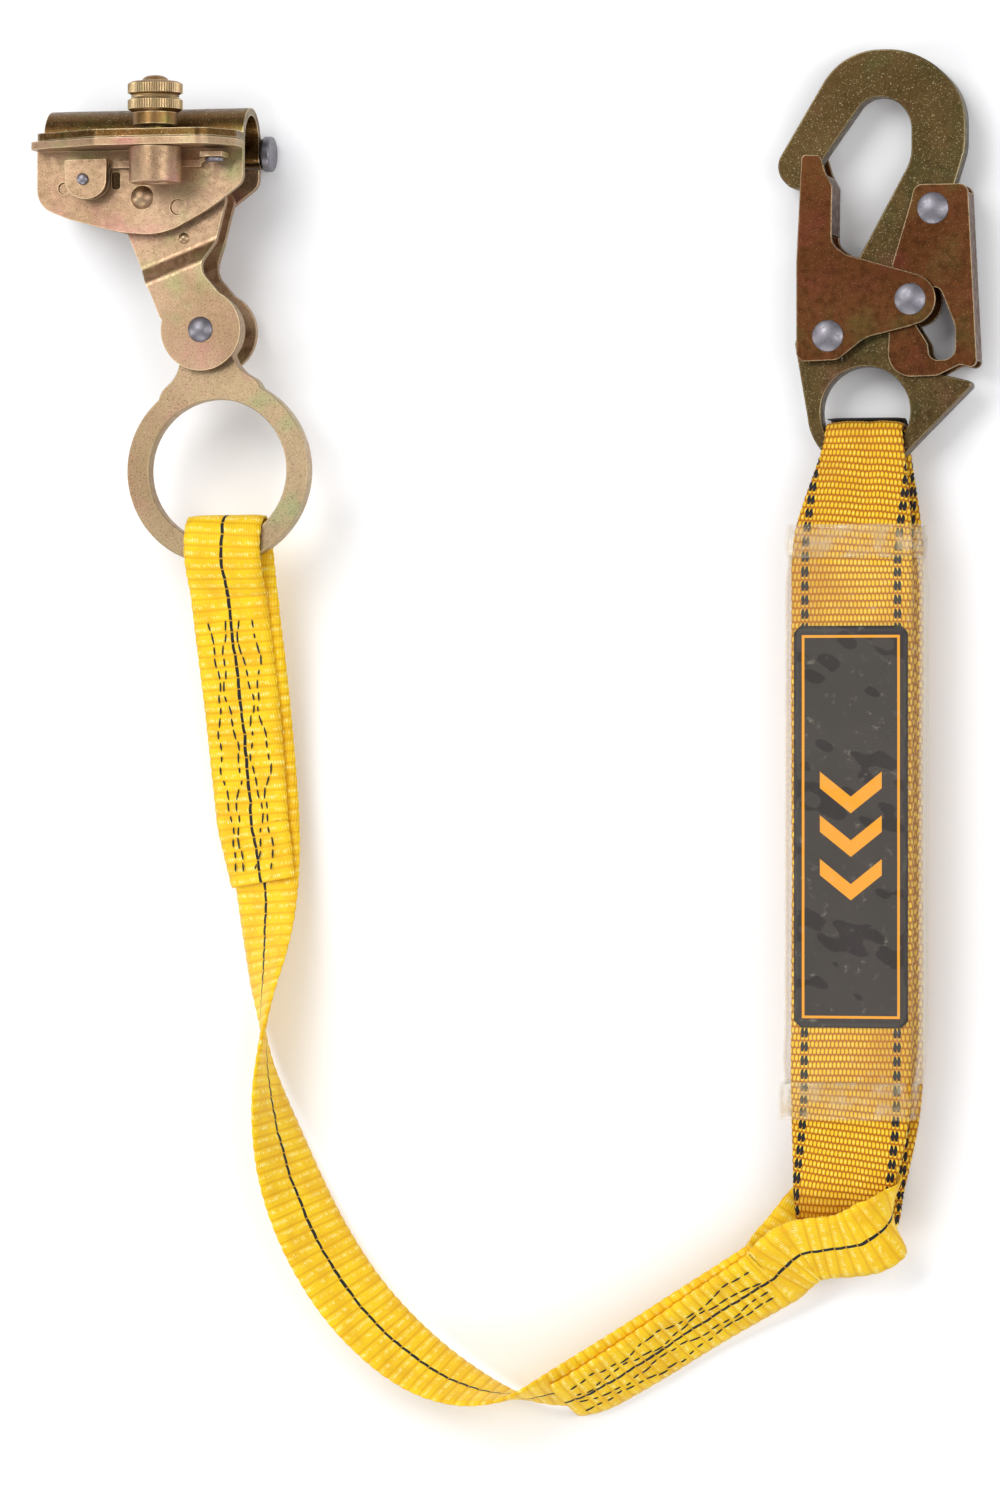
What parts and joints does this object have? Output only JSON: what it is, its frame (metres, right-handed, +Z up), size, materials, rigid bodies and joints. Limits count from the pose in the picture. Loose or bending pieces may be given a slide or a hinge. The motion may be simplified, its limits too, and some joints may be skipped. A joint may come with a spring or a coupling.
{
  "type": "rope grab with shock-absorbing lanyard",
  "caption": "Hinged rope grab with a toothed cam lever and ring, joined by a web lanyard and a shock pack to a double-locking snap hook.",
  "frame": {"origin": "bottom centre of the box round the metal pieces and the shock pack, without the free web", "axes": "+Z up from the surface the part lies on, +Y towards the grab and the hook, +X along the rope from the grab to the pack"},
  "size_m": [0.3089, 0.4396, 0.0516],
  "materials": {
    "gold_zinc": "yellow zinc plated",
    "bronze_zinc": "dark yellow zinc plated",
    "knob_zinc": "yellow zinc plated, knurled",
    "ring_zinc": "yellow zinc plated, forged",
    "hook_zinc": "olive zinc plated, forged",
    "gate_zinc": "red-brown zinc plated",
    "rivet_steel": "bright",
    "spring_steel": "wire",
    "yellow_web": "ribbed webbing",
    "pack_web": "coarse webbing",
    "black_pad": "bound pad",
    "clear_vinyl": "clear film",
    "label_film": "printed film"
  },
  "bodies": {
    "lanyard": {"lanyard_web": "yellow_web", "ring_tail": "yellow_web", "pack_tail": "yellow_web", "ring_loop": "yellow_web", "pack_loop": "yellow_web", "pack_web": "pack_web", "wear_pad": "black_pad", "tear_webbing": "pack_web", "clear_sleeve": "clear_vinyl", "label": "label_film"},
    "ring": {"attachment_ring": "ring_zinc"},
    "lever": {"lever_front_plate": "gold_zinc", "lever_rear_plate": "gold_zinc", "cam": "gold_zinc", "cam_rivet": "knob_zinc", "lever_rivet": "rivet_steel", "ring_spacer": "rivet_steel"},
    "grab_body": {"body_front_plate": "gold_zinc", "body_rear_plate": "gold_zinc", "body_spacer": "gold_zinc", "cam_pivot_pin": "rivet_steel", "cam_spring": "spring_steel", "threaded_boss": "gold_zinc", "hinge_pin": "rivet_steel", "latch_pin": "rivet_steel"},
    "cover": {"cover": "bronze_zinc"},
    "clamp_stud": {"clamp_stud": "knob_zinc"},
    "thumb_knob": {"thumb_knob": "knob_zinc"},
    "latch": {"latch_lever": "gold_zinc", "latch_button": "rivet_steel"},
    "hook": {"hook_body": "hook_zinc", "gate_pivot_rivet": "rivet_steel", "lock_pivot_rivet": "rivet_steel", "gate_spring": "spring_steel", "lock_spring": "spring_steel"},
    "gate": {"gate": "gate_zinc", "gate_tail_rivet": "rivet_steel"},
    "lock": {"lock_lever": "gate_zinc"}
  },
  "joints": [
    {"name": "ring_turn", "type": "hinge", "parent": "lanyard", "child": "ring", "pos_m": [-0.09423, 0.05564, 0.02425], "axis": [0, 0, 1], "range_deg": [-45, 45]},
    {"name": "ring_pivot", "type": "hinge", "parent": "ring", "child": "lever", "pos_m": [-0.0989, 0.1016, 0.02425], "axis": [0, 0, 1], "range_deg": [-60, 60]},
    {"name": "cam_pivot", "type": "hinge", "parent": "lever", "child": "grab_body", "pos_m": [-0.1065, 0.1417, 0.0198], "axis": [0, 0, 1], "range_deg": [-22, 22], "stiffness_Nm_per_rad": 0.15, "deforming": ["cam_spring"]},
    {"name": "cover_hinge", "type": "hinge", "parent": "grab_body", "child": "cover", "pos_m": [-0.115, 0.1606, 0.0058], "axis": [-1, 0, 0], "range_deg": [0, 100]},
    {"name": "screw_travel", "type": "slide", "parent": "cover", "child": "clamp_stud", "axis": [0, 1, 0], "range_m": [-0.001, 0.0095]},
    {"name": "screw_spin", "type": "hinge", "parent": "clamp_stud", "child": "thumb_knob", "pos_m": [-0.1108, 0.1732, 0.0429], "axis": [0, 1, 0], "range_deg": [-288, 2736]},
    {"name": "latch_pivot", "type": "hinge", "parent": "grab_body", "child": "latch", "pos_m": [-0.137, 0.1509, 0.033], "axis": [0, 0, 1], "range_deg": [-8, 1], "stiffness_Nm_per_rad": 0.02},
    {"name": "hook_swing", "type": "hinge", "parent": "lanyard", "child": "hook", "pos_m": [0.118, 0.0732, 0.0093], "axis": [0, 0, 1], "range_deg": [-20, 20]},
    {"name": "gate_swing", "type": "hinge", "parent": "hook", "child": "gate", "pos_m": [0.1064, 0.0975, 0.0093], "axis": [0, 0, 1], "range_deg": [-16, 0], "stiffness_Nm_per_rad": 0.3, "deforming": ["gate_spring"]},
    {"name": "lock_squeeze", "type": "hinge", "parent": "hook", "child": "lock", "pos_m": [0.1403, 0.1382, 0.0093], "axis": [0, 0, 1], "range_deg": [-7, 0], "stiffness_Nm_per_rad": 0.3, "deforming": ["lock_spring"]}
  ],
  "couplings": [
    {"joint": "screw_spin", "follows": "screw_travel", "rad_per_m": 5026.5},
    {"joint": "lock_squeeze", "follows": "gate_swing", "ratio": 0.4375}
  ]
}
